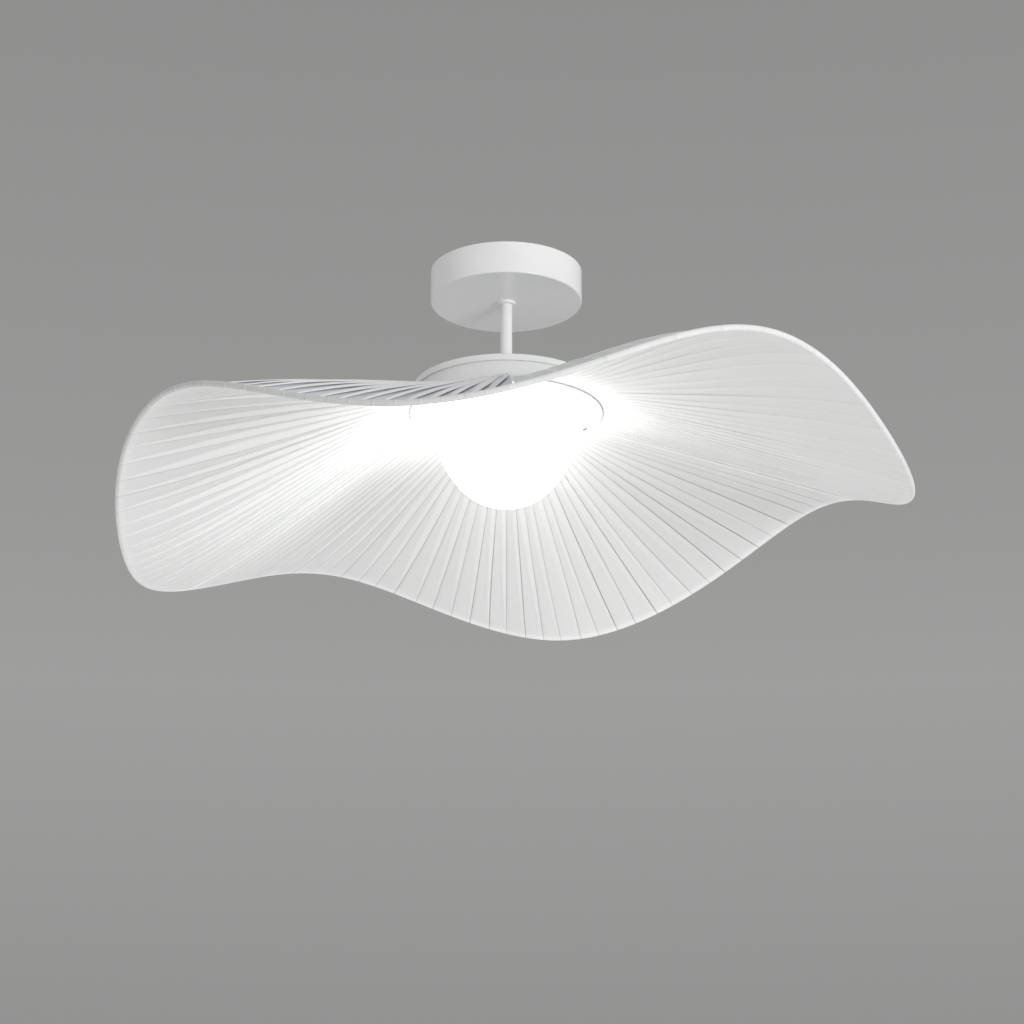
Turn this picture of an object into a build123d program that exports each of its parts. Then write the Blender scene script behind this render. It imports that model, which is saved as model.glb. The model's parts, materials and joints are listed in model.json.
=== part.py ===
from build123d import *
from math import atan2, cos, degrees, pi, radians, sin, sqrt, tan
import os

import numpy as np

# A ceiling light: round canopy, short rod, round lamp body with an opal bowl, and a wide shade of
# pleated fabric stretched between the body and a wavy wire rim.
# Millimetres. The origin is the middle of the ceiling plane, +Z points up into the ceiling, and the
# light hangs below it. Azimuths are degrees from +X towards +Y.

# Canopy and its bracket
canopy_diameter = 153.0
canopy_height = 33.0
canopy_wall = 1.2
canopy_edge_radius = 1.4
bracket_width = 22.0
bracket_thickness = 2.0
bracket_drop = 14.0
bracket_end_clearance = 0.4
slot_spacing = 90.0
slot_width = 5.5
slot_length = 16.0
set_screw_diameter = 4.0
set_screw_drop = 8.0
set_screw_reach = 5.5

# Rod
rod_diameter = 12.0
rod_bore = 8.0
rod_thread_diameter = 10.0
rod_length = 91.0
collar_diameter = 19.0
collar_height = 2.8
nut_across_flats = 15.0
nut_height = 3.6
washer_diameter = 20.0
washer_thickness = 1.4
thread_reach = 3.4
thread_clearance = 0.06
bush_wall = 1.0
bush_flange = 1.2
bush_height = 6.0

# Lamp body
cover_height = 6.6
cover_wall = 1.5
cover_gap = 0.5
drum_wall = 1.2
drum_height = 22.2
drum_ledge = 10.1
drum_tab_width = 14.0
drum_tab_depth = 10.0
drum_tab_thickness = 1.5
hub_screw_diameter = 4.0
hub_screw_inset = 4.3
hub_screw_reach = 6.0
hub_screw_azimuth = 30.0
hub_screw_count = 3

# Light board
board_gap = 7.0
board_thickness = 1.6
board_hole = 12.0
standoff_length = 11.5
standoff_across_flats = 6.0
standoff_inset = 14.0
standoff_azimuth = 90.0
standoff_count = 3
standoff_screw_diameter = 3.0
chip_length = 3.5
chip_width = 2.8
chip_height = 0.8
chip_ring_insets = (41.0, 26.0, 8.0)
chip_ring_counts = (8, 12, 16)
connector_length = 10.0
connector_width = 8.0
connector_height = 6.0
connector_start = 10.0

# Opal bowl
bowl_diameter = 159.0
bowl_depth = 112.0
bowl_tip_radius = 62.0
bowl_wall = 2.0
bowl_mouth_gap = 10.5
bowl_ledge_gap = 0.7
lug_reach = 4.6
lug_angle = 10.0
lug_height = 2.0
lug_clearance = 0.3
notch_extra_angle = 1.5
twist_angle = 25.0
lug_azimuth = 90.0
lug_count = 3
stop_gap_angle = 0.3
stop_angle = 2.0
stop_height = 2.4

# Shade frame and rings
lug_ring_gap = 0.4
hub_ring_overhang = 5.5
hub_ring_thickness = 1.5
clamp_ring_thickness = 1.5
clamp_ring_setback = 1.0
ring_screw_diameter = 3.0
ring_screw_inset = 2.0
ring_screw_reach = 6.5
ring_screw_azimuth = 25.0
ring_screw_count = 3
fabric_margin_gap = 1.0
rim_wire_diameter = 4.0
binding_thickness = 0.8
binding_clearance = 0.1
binding_slot_clearance = 0.3
spoke_diameter = 2.5
spoke_azimuths = {"front": -89.0, "right": 27.0, "left": 150.0}
spoke_clearance = 0.8
spoke_rest_gap = 0.05
spoke_weld_gap = 0.35
spoke_overhang = 2.0
spoke_bend_radius = 60.0
pleat_shares = (0.3, 0.65)
run_share = 0.45
largest_radius = 1000.0

# Shade fabric: every pleat has the same length from the hub ring to the rim, so the rim comes in
# where it dips. Each pair is an azimuth and how far the rim lies below the hub ring there.
pleat_slant = 315.5
rim_drops = (
    (-168, 145), (-139, 82), (-119, 116), (-101, 136), (-80, 108), (-56, 54), (-33, 86), (-9, 99),
    (14, 59), (35, 14), (57, 68), (80, 119), (99, 87), (118, 51), (139, 92), (168, 154),
)
pleat_count = 120
pleat_relief = 2.2
pleat_fold_share = 0.16
fabric_thickness = 0.8
fabric_clearance = 0.1
fabric_bow = -1.0
fabric_bow_swing = 7.0
fabric_bow_azimuth = -45.0
bow_scale = 27 / 4

# Parts inside the canopy
driver_length = 76.0
driver_width = 36.0
driver_height = 20.0
driver_gap = 8.0
driver_pad_thickness = 1.0
driver_edge_radius = 2.0
terminal_length = 23.0
terminal_width = 18.0
terminal_height = 14.0
terminal_offset = -22.0
terminal_pitch = 7.0
terminal_hole = 3.0
terminal_hole_drop = 7.0
terminal_screw_diameter = 3.0
terminal_screw_inset = 5.0
block_screw_diameter = 3.0
block_screw_head_depth = 2.4
block_screw_reach = 13.2
earth_offset = 22.0
earth_screw_diameter = 4.0
earth_screw_reach = 2.7
lug_sheet = 0.8
lug_ring_diameter = 9.0
lug_tail = 12.0
lug_tail_width = 3.2
lug_barrel_length = 5.0
lug_barrel_wall = 0.5
lead_diameter = 2.0
lead_spacing = 2.8
lead_height_in_driver = 11.0
lead_insertion = 4.0

# Screw heads
head_ratio = 1.9
head_height_ratio = 0.6
recess_length_ratio = 1.0
recess_width_ratio = 0.22

# Heights worked out from the sizes above
canopy_floor = -canopy_height + canopy_wall
collar_bottom = -canopy_height - collar_height
cover_top = collar_bottom - rod_length
cover_ceiling = cover_top - cover_wall
drum_bottom = cover_ceiling - drum_height
board_top = cover_ceiling - standoff_length
board_bottom = board_top - board_thickness
bowl_mouth = cover_ceiling - bowl_mouth_gap
shade_plane = drum_bottom - hub_ring_thickness - fabric_clearance - fabric_thickness / 2
clamp_ring_top = shade_plane - fabric_thickness / 2 - fabric_clearance
canopy_inner_radius = canopy_diameter / 2 - canopy_wall
driver_offset = bracket_width / 2 + driver_gap + driver_width / 2

# Widths that follow the bowl: the ledge lets it through, and its lugs pass the shade's rings
bowl_radius = bowl_diameter / 2
bowl_lug_radius = bowl_radius + lug_reach
lug_turns = [index * 360 / lug_count for index in range(lug_count)]
ledge_inner_radius = bowl_radius + bowl_ledge_gap
drum_inner_radius = ledge_inner_radius + drum_ledge
drum_diameter = 2 * (drum_inner_radius + drum_wall)
cover_diameter = drum_diameter + 2 * (cover_gap + cover_wall)
hub_screw_circle = 2 * (drum_inner_radius - hub_screw_inset)
board_diameter = bowl_diameter - 2 * (bowl_wall + board_gap)
standoff_circle = board_diameter - 2 * standoff_inset
hub_ring_inner = 2 * (bowl_lug_radius + lug_ring_gap)
hub_ring_outer = drum_diameter + 2 * hub_ring_overhang
clamp_ring_outer = hub_ring_outer - 2 * clamp_ring_setback
ring_screw_circle = hub_ring_inner + 2 * ring_screw_inset

nut_bore = rod_thread_diameter + 2 * thread_clearance
ledge_top = drum_bottom + drum_wall
bracket_reach = sqrt(canopy_inner_radius**2 - (bracket_width / 2) ** 2) - bracket_end_clearance
pleat_start_radius = hub_ring_outer / 2
fabric_inner_radius = ring_screw_circle / 2 + ring_screw_diameter / 2 + fabric_margin_gap
rod_top = canopy_floor + washer_thickness + nut_height + thread_reach
rod_bottom = cover_ceiling - washer_thickness - nut_height - thread_reach
block_screw_offset = terminal_offset + terminal_pitch / 2
binding_inner_radius = rim_wire_diameter / 2 + binding_clearance
binding_outer_radius = binding_inner_radius + binding_thickness

os.makedirs("parts", exist_ok=True)


def save(part, label):
    part.label = label
    export_step(part, f"parts/{label}.step")


def periodic_curvature(angles, values):
    # Second derivatives of the smooth closed curve through values at angles
    count = len(angles)
    spans = [(angles[(i + 1) % count] - angles[i]) % 360 for i in range(count)]
    matrix = np.zeros((count, count))
    right = np.zeros(count)
    for i in range(count):
        before = spans[i - 1]
        after = spans[i]
        matrix[i, i - 1] = before / 6
        matrix[i, i] = (before + after) / 3
        matrix[i, (i + 1) % count] = after / 6
        rise_after = (values[(i + 1) % count] - values[i]) / after
        rise_before = (values[i] - values[i - 1]) / before
        right[i] = rise_after - rise_before
    return spans, np.linalg.solve(matrix, right)


rim_angles = [azimuth for azimuth, drop in rim_drops]
rim_values = [drop for azimuth, drop in rim_drops]
rim_spans, rim_curvature = periodic_curvature(rim_angles, rim_values)


def rim_drop(azimuth):
    # How far the rim wire's centre line lies below the shade plane
    turned = (azimuth - rim_angles[0]) % 360
    index = 0
    while turned > rim_spans[index]:
        turned -= rim_spans[index]
        index += 1
    following = (index + 1) % len(rim_angles)
    span = rim_spans[index]
    far = turned / span
    near = 1 - far
    straight = near * rim_values[index] + far * rim_values[following]
    bend = (near**3 - near) * rim_curvature[index] + (far**3 - far) * rim_curvature[following]
    return straight + bend * span**2 / 6


def rim_radius(azimuth):
    return pleat_start_radius + sqrt(pleat_slant**2 - rim_drop(azimuth) ** 2)


def rim_point(azimuth):
    radius = rim_radius(azimuth)
    turn = radians(azimuth)
    return Vector(radius * cos(turn), radius * sin(turn), shade_plane - rim_drop(azimuth))


def rim_direction(azimuth, step=0.01):
    return (rim_point(azimuth + step) - rim_point(azimuth - step)).normalized()


def biarc(start, start_direction, end, end_direction):
    # Two arcs that leave start and reach end along the given directions
    chord = end - start
    both = start_direction + end_direction
    alike = 2 * (1 - start_direction.dot(end_direction))
    along = chord.dot(both)
    if alike < 1e-9:
        reach = chord.dot(chord) / (2 * along)
    else:
        reach = (sqrt(along**2 + alike * chord.dot(chord)) - along) / alike
    joint = (start + start_direction * reach + end - end_direction * reach) * 0.5
    TangentArc(start, joint, tangent=start_direction)
    TangentArc(joint, end, tangent=-end_direction, tangent_from_first=False)


def rim_path(first, last, count):
    # The rim's centre line from one azimuth to another
    stations = [first + (last - first) * i / count for i in range(count + 1)]
    with BuildLine() as path:
        for here, there in zip(stations, stations[1:]):
            biarc(rim_point(here), rim_direction(here), rim_point(there), rim_direction(there))
    return path


def fabric_bow_at(azimuth):
    # How far the middle of a pleat stands above the straight line from hub to rim
    return fabric_bow + fabric_bow_swing * cos(radians(azimuth - fabric_bow_azimuth))


def fabric_height(azimuth, share, inset=0.0):
    # Height of the fabric's middle surface a share of the way from the hub ring to the rim
    bow = bow_scale * share**2 * (1 - share) * fabric_bow_at(azimuth)
    return shade_plane - rim_drop(azimuth) * share + bow - inset


def radial_plane(azimuth):
    # X outwards from the axis, Y up
    turn = radians(azimuth)
    return Plane(origin=(0, 0, 0), x_dir=(cos(turn), sin(turn), 0), z_dir=(sin(turn), -cos(turn), 0))


def screw(diameter, seat, reach, upwards=False):
    # A pan-head screw along Z with a crossed recess: its head rests against the seat
    way = 1 if upwards else -1
    head_height = diameter * head_height_ratio
    with Locations((0, 0, seat - way * head_height / 2)):
        Cylinder(diameter * head_ratio / 2, head_height)
    with Locations((0, 0, seat + way * reach / 2)):
        Cylinder(diameter / 2, reach)
    with Locations((0, 0, seat - way * head_height)):
        Box(diameter * recess_length_ratio, diameter * recess_width_ratio, head_height, mode=Mode.SUBTRACT)
        Box(diameter * recess_width_ratio, diameter * recess_length_ratio, head_height, mode=Mode.SUBTRACT)


def ring_face(outer_radius, inner_radius):
    Circle(outer_radius)
    Circle(inner_radius, mode=Mode.SUBTRACT)


def ring_sector(inner_radius, outer_radius, azimuth, angle, mode=Mode.ADD):
    # Part of a flat ring, centred on an azimuth
    with BuildLine() as outline:
        outer = CenterArc((0, 0), outer_radius, azimuth - angle / 2, angle)
        inner = CenterArc((0, 0), inner_radius, azimuth - angle / 2, angle)
        Line(outer @ 0, inner @ 0)
        Line(outer @ 1, inner @ 1)
    make_face(outline.edges(), mode=mode)


def hexagon(across_flats):
    RegularPolygon(across_flats / 2, 6, major_radius=False)


# Ceiling bracket: a strip along X with turned-down ends for the canopy's set screws
bracket_hole_diameter = set_screw_diameter + 2 * thread_clearance
bracket_end_middle = bracket_reach - bracket_thickness / 2
with BuildPart() as ceiling_bracket:
    with BuildSketch(Plane.XY.offset(-bracket_thickness)):
        Rectangle(2 * bracket_reach, bracket_width)
        with Locations((-slot_spacing / 2, 0), (slot_spacing / 2, 0)):
            SlotOverall(slot_length, slot_width, mode=Mode.SUBTRACT)
        with Locations((block_screw_offset, 0)):
            Circle(block_screw_diameter / 2 + thread_clearance, mode=Mode.SUBTRACT)
        with Locations((earth_offset, 0)):
            Circle(earth_screw_diameter / 2 + thread_clearance, mode=Mode.SUBTRACT)
    extrude(amount=bracket_thickness)
    with BuildSketch(Plane.XY.offset(-bracket_drop)):
        with Locations((-bracket_end_middle, 0), (bracket_end_middle, 0)):
            Rectangle(bracket_thickness, bracket_width)
    extrude(amount=bracket_drop)
    with BuildSketch(Plane.YZ.offset(-bracket_reach)):
        with Locations((0, -set_screw_drop)):
            Circle(bracket_hole_diameter / 2)
    extrude(amount=2 * bracket_reach, mode=Mode.SUBTRACT)
save(ceiling_bracket.part, "ceiling_bracket")

# Canopy: a spun cup, open towards the ceiling, with the rod's hole and two holes for set screws
with BuildPart() as canopy_cup:
    with BuildSketch(Plane.XY.offset(-canopy_height)):
        Circle(canopy_diameter / 2)
    extrude(amount=canopy_height)
    fillet(canopy_cup.edges().sort_by(Axis.Z)[0], canopy_edge_radius)
    with BuildSketch(Plane.XY.offset(canopy_floor)):
        Circle(canopy_inner_radius)
    extrude(amount=-canopy_floor, mode=Mode.SUBTRACT)
    with BuildSketch(Plane.XY.offset(-canopy_height)):
        Circle(nut_bore / 2)
    extrude(amount=canopy_wall, mode=Mode.SUBTRACT)
    with BuildSketch(Plane.YZ.offset(-canopy_diameter / 2)):
        with Locations((0, -set_screw_drop)):
            Circle(bracket_hole_diameter / 2)
    extrude(amount=canopy_diameter, mode=Mode.SUBTRACT)
save(canopy_cup.part, "canopy_cup")

# Set screws: flush with the canopy wall, threaded through the bracket's ends
set_screw_length = canopy_diameter / 2 - bracket_reach + set_screw_reach
set_screw_tip = canopy_diameter / 2 - set_screw_length
socket_depth = set_screw_length / 3
with BuildPart() as canopy_set_screws:
    for side in (-1, 1):
        with BuildSketch(Plane.YZ.offset(side * set_screw_tip)):
            with Locations((0, -set_screw_drop)):
                Circle(set_screw_diameter / 2)
        extrude(amount=side * set_screw_length)
        with BuildSketch(Plane.YZ.offset(side * (set_screw_tip + set_screw_length - socket_depth))):
            with Locations((0, -set_screw_drop)):
                RegularPolygon(set_screw_diameter / 4, 6)
        extrude(amount=side * socket_depth, mode=Mode.SUBTRACT)
save(canopy_set_screws.part, "canopy_set_screws")

# Rod: a tube whose ends are turned down for the lock nuts, with its shoulders on collar and lid
with BuildPart() as down_rod:
    with BuildSketch(Plane.XY.offset(cover_top)):
        Circle(rod_diameter / 2)
    extrude(amount=rod_length)
    with BuildSketch(Plane.XY.offset(rod_bottom)):
        Circle(rod_thread_diameter / 2)
    extrude(amount=rod_top - rod_bottom)
    with BuildSketch(Plane.XY.offset(rod_bottom)):
        Circle(rod_bore / 2)
    extrude(amount=rod_top - rod_bottom, mode=Mode.SUBTRACT)
save(down_rod.part, "down_rod")

with BuildPart() as rod_collar:
    with BuildSketch(Plane.XY.offset(collar_bottom)):
        ring_face(collar_diameter / 2, nut_bore / 2)
    extrude(amount=collar_height)
    fillet(rod_collar.edges().filter_by(GeomType.CIRCLE).sort_by(Axis.Z)[:1], collar_height / 4)
save(rod_collar.part, "rod_collar")

# Washers and lock nuts: one pair above the canopy's floor, one pair under the lid
washer_floors = {"rod_top_washer": canopy_floor, "rod_bottom_washer": cover_ceiling - washer_thickness}
for label, floor in washer_floors.items():
    with BuildPart() as washer:
        with BuildSketch(Plane.XY.offset(floor)):
            ring_face(washer_diameter / 2, nut_bore / 2)
        extrude(amount=washer_thickness)
    save(washer.part, label)

nut_floors = {
    "rod_top_nut": canopy_floor + washer_thickness,
    "rod_bottom_nut": cover_ceiling - washer_thickness - nut_height,
}
for label, floor in nut_floors.items():
    with BuildPart() as nut:
        with BuildSketch(Plane.XY.offset(floor)):
            hexagon(nut_across_flats)
            Circle(nut_bore / 2, mode=Mode.SUBTRACT)
        extrude(amount=nut_height)
    save(nut.part, label)

# Edge guard in the top of the rod
bush_outer_radius = rod_bore / 2 - thread_clearance
with BuildPart() as rod_bush:
    with BuildSketch(Plane.XY.offset(rod_top)):
        ring_face(rod_thread_diameter / 2, bush_outer_radius - bush_wall)
    extrude(amount=bush_flange)
    with BuildSketch(Plane.XY.offset(rod_top - bush_height)):
        ring_face(bush_outer_radius, bush_outer_radius - bush_wall)
    extrude(amount=bush_height)
save(rod_bush.part, "rod_bush")

# Lid of the lamp body
hub_screw_hole = hub_screw_diameter / 2 + thread_clearance
with BuildPart() as hub_cover:
    with BuildSketch(Plane.XY.offset(cover_top - cover_height)):
        Circle(cover_diameter / 2)
    extrude(amount=cover_height)
    fillet(hub_cover.edges().sort_by(Axis.Z)[-1], cover_wall / 2)
    with BuildSketch(Plane.XY.offset(cover_top - cover_height)):
        Circle(cover_diameter / 2 - cover_wall)
    extrude(amount=cover_height - cover_wall, mode=Mode.SUBTRACT)
    with BuildSketch(Plane.XY.offset(cover_ceiling)):
        Circle(nut_bore / 2)
        with PolarLocations(hub_screw_circle / 2, hub_screw_count, hub_screw_azimuth):
            Circle(hub_screw_hole)
    extrude(amount=cover_wall, mode=Mode.SUBTRACT)
save(hub_cover.part, "hub_cover")

# Drum: wall, three tabs under the lid, and an inward ledge with bayonet notches and stops
notch_angle = lug_angle + 2 * notch_extra_angle
lock_stop_azimuth = lug_azimuth + lug_angle / 2 + stop_gap_angle + stop_angle / 2
open_stop_azimuth = lug_azimuth - twist_angle - notch_angle / 2 - stop_angle / 2
ring_screw_hole = ring_screw_diameter / 2 + thread_clearance
with BuildPart() as hub_drum:
    with BuildSketch(Plane.XY.offset(drum_bottom)):
        ring_face(drum_diameter / 2, drum_inner_radius)
    extrude(amount=drum_height)
    with BuildSketch(Plane.XY.offset(drum_bottom)):
        ring_face(drum_diameter / 2, ledge_inner_radius)
        for turn in lug_turns:
            ring_sector(
                ledge_inner_radius - lug_clearance,
                bowl_lug_radius + 2 * lug_clearance,
                lug_azimuth - twist_angle + turn,
                notch_angle,
                mode=Mode.SUBTRACT,
            )
        with PolarLocations(ring_screw_circle / 2, ring_screw_count, ring_screw_azimuth):
            Circle(ring_screw_hole, mode=Mode.SUBTRACT)
    extrude(amount=drum_wall)
    with BuildSketch(Plane.XY.offset(ledge_top)):
        for turn in lug_turns:
            for azimuth in (lock_stop_azimuth, open_stop_azimuth):
                ring_sector(ledge_inner_radius, bowl_lug_radius, azimuth + turn, stop_angle)
    extrude(amount=stop_height)
    with BuildSketch(Plane.XY.offset(cover_ceiling - drum_tab_thickness)):
        with PolarLocations(drum_inner_radius - drum_tab_depth / 2, hub_screw_count, hub_screw_azimuth):
            Rectangle(drum_tab_depth + drum_wall, drum_tab_width)
        with PolarLocations(hub_screw_circle / 2, hub_screw_count, hub_screw_azimuth):
            Circle(hub_screw_hole, mode=Mode.SUBTRACT)
    extrude(amount=drum_tab_thickness)
save(hub_drum.part, "hub_drum")

with BuildPart() as hub_screws:
    with PolarLocations(hub_screw_circle / 2, hub_screw_count, hub_screw_azimuth):
        screw(hub_screw_diameter, cover_top, hub_screw_reach)
save(hub_screws.part, "hub_screws")

# Light board on three standoffs under the lid
with BuildPart() as board_standoffs:
    with BuildSketch(Plane.XY.offset(board_top)):
        with PolarLocations(standoff_circle / 2, standoff_count, standoff_azimuth):
            hexagon(standoff_across_flats)
    extrude(amount=standoff_length)
    with BuildSketch(Plane.XY.offset(board_top)):
        with PolarLocations(standoff_circle / 2, standoff_count, standoff_azimuth):
            Circle(standoff_screw_diameter / 2 + thread_clearance)
    extrude(amount=standoff_length - cover_wall, mode=Mode.SUBTRACT)
save(board_standoffs.part, "board_standoffs")

with BuildPart() as led_board:
    with BuildSketch(Plane.XY.offset(board_bottom)):
        ring_face(board_diameter / 2, board_hole / 2)
        with PolarLocations(standoff_circle / 2, standoff_count, standoff_azimuth):
            Circle(standoff_screw_diameter / 2 + thread_clearance, mode=Mode.SUBTRACT)
    extrude(amount=board_thickness)
save(led_board.part, "led_board")

with BuildPart() as board_screws:
    with PolarLocations(standoff_circle / 2, standoff_count, standoff_azimuth):
        screw(standoff_screw_diameter, board_bottom, standoff_length / 2, upwards=True)
save(board_screws.part, "board_screws")

with BuildPart() as led_chips:
    for inset, count in zip(chip_ring_insets, chip_ring_counts):
        with BuildSketch(Plane.XY.offset(board_bottom - chip_height)):
            with PolarLocations(board_diameter / 2 - inset, count, 180 / count):
                Rectangle(chip_length, chip_width)
        extrude(amount=chip_height)
save(led_chips.part, "led_chips")

connector_plane = Plane.XY.offset(board_bottom - connector_height)
with BuildPart() as board_connector:
    with BuildSketch(connector_plane):
        with Locations((connector_start + connector_length / 2, 0)):
            Rectangle(connector_length, connector_width)
    extrude(amount=connector_height)
    fillet(board_connector.edges().filter_by(Axis.Z), connector_length / 20)
save(board_connector.part, "board_connector")

# Opal bowl: a deep egg-shaped bowl of two tangent arcs, open at the top, with three bayonet lugs
tip_centre = bowl_mouth - bowl_depth + bowl_tip_radius
tip_rise = bowl_depth - bowl_tip_radius
tip_room = bowl_radius - bowl_tip_radius
bowl_side_radius = (bowl_radius**2 + tip_rise**2 - bowl_tip_radius**2) / (2 * tip_room)
side_centre = bowl_radius - bowl_side_radius
straight_down = -90
arcs_meet_at = degrees(atan2(-tip_rise, -side_centre))
tip_sweep = straight_down - arcs_meet_at
lug_bottom = ledge_top + lug_clearance
lug_root_radius = side_centre + sqrt(bowl_side_radius**2 - (bowl_mouth - lug_bottom) ** 2) - bowl_wall / 2
with BuildPart() as diffuser:
    with BuildSketch(Plane.XZ):
        with BuildLine():
            for inset in (0, bowl_wall):
                CenterArc((side_centre, bowl_mouth), bowl_side_radius - inset, 0, arcs_meet_at)
                CenterArc((0, tip_centre), bowl_tip_radius - inset, arcs_meet_at, tip_sweep)
            Line((bowl_radius, bowl_mouth), (bowl_radius - bowl_wall, bowl_mouth))
            Line((0, bowl_mouth - bowl_depth), (0, bowl_mouth - bowl_depth + bowl_wall))
        make_face()
    revolve(axis=Axis.Z)
    with BuildSketch(Plane.XY.offset(lug_bottom)):
        for turn in lug_turns:
            ring_sector(lug_root_radius, bowl_lug_radius, lug_azimuth + turn, lug_angle)
    extrude(amount=lug_height)
save(diffuser.part, "diffuser")

# Flat rings that clamp the inner edge of the fabric under the drum
with BuildPart() as shade_hub_ring:
    with BuildSketch(Plane.XY.offset(drum_bottom - hub_ring_thickness)):
        ring_face(hub_ring_outer / 2, hub_ring_inner / 2)
        with PolarLocations(ring_screw_circle / 2, ring_screw_count, ring_screw_azimuth):
            Circle(ring_screw_hole, mode=Mode.SUBTRACT)
    extrude(amount=hub_ring_thickness)
save(shade_hub_ring.part, "shade_hub_ring")

with BuildPart() as fabric_clamp_ring:
    with BuildSketch(Plane.XY.offset(clamp_ring_top - clamp_ring_thickness)):
        ring_face(clamp_ring_outer / 2, hub_ring_inner / 2)
        with PolarLocations(ring_screw_circle / 2, ring_screw_count, ring_screw_azimuth):
            Circle(ring_screw_hole, mode=Mode.SUBTRACT)
    extrude(amount=clamp_ring_thickness)
save(fabric_clamp_ring.part, "fabric_clamp_ring")

with BuildPart() as shade_ring_screws:
    with PolarLocations(ring_screw_circle / 2, ring_screw_count, ring_screw_azimuth):
        screw(ring_screw_diameter, clamp_ring_top - clamp_ring_thickness, ring_screw_reach, upwards=True)
save(shade_ring_screws.part, "shade_ring_screws")

# Rim wire: one closed wavy ring, swept in two halves
rim_halves = ((-180.0, 0.0), (0.0, 180.0))
rim_stations = 18
with BuildPart() as shade_rim_wire:
    for first, last in rim_halves:
        half = rim_path(first, last, rim_stations)
        with BuildSketch(Plane(origin=rim_point(first), z_dir=rim_direction(first))):
            Circle(rim_wire_diameter / 2)
        sweep(path=half.wire())
save(shade_rim_wire.part, "shade_rim_wire")
print("rim wire length", round(sum(rim_path(a, b, rim_stations).wire().length for a, b in rim_halves)))

# Spokes: from the top of the hub ring, over a seam of the fabric, to the top of the rim wire
spoke_lift = fabric_thickness / 2 + spoke_clearance + spoke_diameter / 2
spoke_rise_over_wire = (rim_wire_diameter + spoke_diameter) / 2 + spoke_weld_gap


def spoke_points(azimuth):
    # Points in the radial plane, as distance from the axis and height
    rim = rim_radius(azimuth)
    reach = rim - pleat_start_radius
    rest = drum_bottom + spoke_diameter / 2 + spoke_rest_gap
    points = [(drum_diameter / 2 + spoke_rest_gap, rest), (pleat_start_radius + spoke_overhang, rest)]
    for share in pleat_shares:
        points.append((pleat_start_radius + reach * share, fabric_height(azimuth, share) + spoke_lift))
    outer_share = pleat_shares[-1]
    outer_fall = fabric_height(azimuth, outer_share) - fabric_height(azimuth, 1)
    slope = atan2(outer_fall, reach * (1 - outer_share))
    end_radius = rim + spoke_rise_over_wire * sin(slope) + spoke_overhang * cos(slope)
    end_height = fabric_height(azimuth, 1) + spoke_rise_over_wire * cos(slope) - spoke_overhang * sin(slope)
    points.append((end_radius, end_height))
    return points


def corner_radii(points, largest=largest_radius):
    # The largest arc that each corner's two runs leave room for, up to a limit
    places = [Vector(*point) for point in points]
    radii = []
    for before, corner, after in zip(places, places[1:], places[2:]):
        turn = (corner - before).get_angle(after - corner)
        shorter = min((corner - before).length, (after - corner).length)
        radii.append(min(run_share * shorter / tan(radians(turn) / 2), largest))
    return radii


for name, azimuth in spoke_azimuths.items():
    points = spoke_points(azimuth)
    with BuildPart() as spoke:
        with BuildLine(radial_plane(azimuth)) as route:
            FilletPolyline(*points, radius=corner_radii(points, spoke_bend_radius))
        with BuildSketch(Plane(origin=route.line @ 0, z_dir=route.line % 0)):
            Circle(spoke_diameter / 2)
        sweep(path=route.wire())
    save(spoke.part, f"spoke_{name}")

# Hem wrapped round the rim wire, open where each spoke reaches the wire
spoke_slot_radius = spoke_diameter / 2 + binding_slot_clearance
with BuildPart() as rim_binding:
    for first, last in rim_halves:
        half = rim_path(first, last, rim_stations)
        with BuildSketch(Plane(origin=rim_point(first), z_dir=rim_direction(first))):
            ring_face(binding_outer_radius, binding_inner_radius)
        sweep(path=half.wire())
    for azimuth in spoke_azimuths.values():
        arrival, end = spoke_points(azimuth)[-2:]
        with BuildLine(radial_plane(azimuth), mode=Mode.PRIVATE) as slot:
            Line(arrival, end)
        with BuildSketch(Plane(origin=slot.line @ 1, z_dir=slot.line % 1)):
            Circle(spoke_slot_radius)
        extrude(amount=2 * binding_outer_radius, both=True, mode=Mode.SUBTRACT)
save(rim_binding.part, "rim_binding")

# Fabric: three pleated panels between neighbouring spokes. A pleat is a ruled strip that sinks from
# its seam to its fold and steps back up, deepest half way along, pinned flat at hub and rim.
hem_gap = binding_outer_radius + binding_slot_clearance


def pleat_section(azimuth, relief):
    rim = rim_radius(azimuth)
    reach = rim - pleat_start_radius
    last_share = 1 - hem_gap / reach
    middle = [(fabric_inner_radius, shade_plane), (pleat_start_radius, shade_plane)]
    for share in pleat_shares + (last_share,):
        inset = relief * sin(pi * share / last_share)
        middle.append((pleat_start_radius + reach * share, fabric_height(azimuth, share, inset)))
    half = fabric_thickness / 2
    lower = [(radius, height - half) for radius, height in middle]
    upper = [(radius, height + half) for radius, height in reversed(middle)]
    return lower + upper


panel_ends = {"front": ("front", "right"), "right": ("right", "left"), "left": ("left", "front")}
for name, (first, last) in panel_ends.items():
    start = spoke_azimuths[first]
    span = (spoke_azimuths[last] - start) % 360
    pleats = round(pleat_count * span / 360)
    pitch = span / pleats
    with BuildPart() as panel:
        for pleat in range(pleats):
            seam = start + pleat * pitch
            for azimuth, relief in ((seam, 0), (seam + pitch * (1 - pleat_fold_share), pleat_relief)):
                with BuildSketch(radial_plane(azimuth)):
                    with BuildLine():
                        Polyline(*pleat_section(azimuth, relief), close=True)
                    make_face()
        with BuildSketch(radial_plane(start + span)):
            with BuildLine():
                Polyline(*pleat_section(start + span, 0), close=True)
            make_face()
        loft(ruled=True)
    save(panel.part, f"shade_panel_{name}")

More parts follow.
